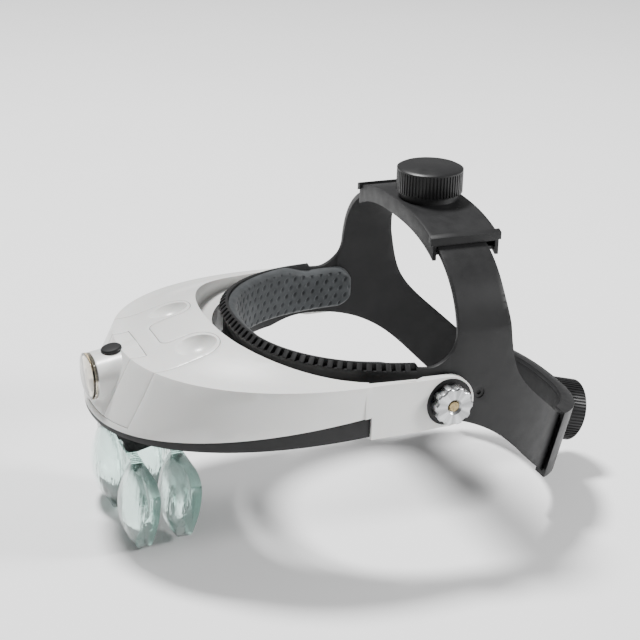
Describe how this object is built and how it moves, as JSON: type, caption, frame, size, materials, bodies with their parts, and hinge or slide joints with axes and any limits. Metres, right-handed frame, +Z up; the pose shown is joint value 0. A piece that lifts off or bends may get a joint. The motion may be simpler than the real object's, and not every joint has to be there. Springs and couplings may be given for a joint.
{
  "type": "head visor magnifier",
  "caption": "Head-worn binocular magnifier with a tilting visor, swinging lens plates, a front lamp and straps tightened by knobs.",
  "frame": {"origin": "centre of the head ring, at the level of the temple pivots", "axes": "+X towards the wearer's left, +Y towards the back of the head, +Z up"},
  "size_m": [0.1808, 0.2845, 0.1822],
  "materials": {
    "white_shell": "off-white satin moulded plastic",
    "black_plastic": "black fine-textured moulded plastic",
    "black_knob": "black ribbed moulded plastic",
    "black_button": "black satin rubber",
    "charcoal_pad": "charcoal dimpled soft foam with a skin",
    "clear_lens": "clear acrylic with a pale green tint",
    "clear_window": "clear plastic, slightly warm",
    "reflector_chrome": "bright metallised plastic",
    "led_lens": "clear cream LED body",
    "nut_aluminium": "turned aluminium",
    "bolt_brass": "brass-plated screw end",
    "screw_steel": "zinc-plated steel",
    "board_green": "green circuit board",
    "switch_black": "black push switch",
    "tray_grey": "light grey moulded plastic",
    "battery_metal": "printed battery jacket",
    "contact_nickel": "nickel-plated steel"
  },
  "bodies": {
    "headgear": {"headband": "black_plastic", "forehead_pad": "charcoal_pad", "crown_housing": "black_plastic", "crown_base": "black_plastic", "rear_housing": "black_plastic", "rear_base": "black_plastic", "pivot_bolts": "bolt_brass", "pivot_washers": "black_plastic", "friction_washers": "black_plastic"},
    "crown_dial": {"crown_knob": "black_knob", "crown_pinion": "black_plastic", "crown_knob_screw": "screw_steel"},
    "rear_dial": {"rear_knob": "black_knob", "rear_pinion": "black_plastic", "rear_knob_screw": "screw_steel"},
    "nut_left": {"thumb_nut_left": "nut_aluminium"},
    "nut_right": {"thumb_nut_right": "nut_aluminium"},
    "visor": {"visor_shell": "white_shell", "visor_tray": "black_plastic", "tray_screws": "screw_steel", "lens_bracket": "black_plastic", "bracket_screws": "screw_steel", "lens_pins": "black_plastic"},
    "lamp_module": {"battery_cover": "white_shell", "lamp_housing_left": "white_shell", "lamp_housing_right": "white_shell", "lamp_window": "clear_window", "lamp_reflector": "reflector_chrome", "lamp_leds": "led_lens", "circuit_board": "board_green", "lamp_switch": "switch_black", "battery_tray": "tray_grey", "batteries": "battery_metal", "battery_contacts": "contact_nickel"},
    "lamp_push_button": {"lamp_button": "black_button"},
    "lens_front": {"lens_plate_front": "clear_lens"},
    "lens_rear": {"lens_plate_rear": "clear_lens"}
  },
  "joints": [
    {"name": "visor_tilt", "type": "hinge", "parent": "headgear", "child": "visor", "pos_m": [0, -0.0084, 0], "axis": [-1, 0, 0], "range_deg": [-5, 60]},
    {"name": "crown_turn", "type": "hinge", "parent": "headgear", "child": "crown_dial", "pos_m": [0, 0.014, 0.08], "axis": [0, 0, 1], "continuous": true},
    {"name": "rear_turn", "type": "hinge", "parent": "headgear", "child": "rear_dial", "pos_m": [0, -0.00686, -0.0256], "axis": [0, 0.9659, -0.2588], "continuous": true},
    {"name": "left_nut_turn", "type": "hinge", "parent": "headgear", "child": "nut_left", "pos_m": [0.085, -0.0084, 0], "axis": [1, 0, 0], "continuous": true},
    {"name": "right_nut_turn", "type": "hinge", "parent": "headgear", "child": "nut_right", "pos_m": [-0.085, -0.0084, 0], "axis": [-1, 0, 0], "continuous": true},
    {"name": "module_slide", "type": "slide", "parent": "visor", "child": "lamp_module", "axis": [0, -1, 0], "range_m": [0, 0.04]},
    {"name": "button_press", "type": "slide", "parent": "lamp_module", "child": "lamp_push_button", "axis": [0, 0.2079, -0.9781], "range_m": [0, 0.0012], "stiffness_N_per_m": 300, "springref_m": -0.001},
    {"name": "front_plate_swing", "type": "hinge", "parent": "visor", "child": "lens_front", "pos_m": [0, -0.1503, -0.0375], "axis": [-1, 0, 0], "range_deg": [0, 80]},
    {"name": "rear_plate_swing", "type": "hinge", "parent": "visor", "child": "lens_rear", "pos_m": [0, -0.129, -0.0349], "axis": [1, 0, 0], "range_deg": [-8, 45]}
  ]
}
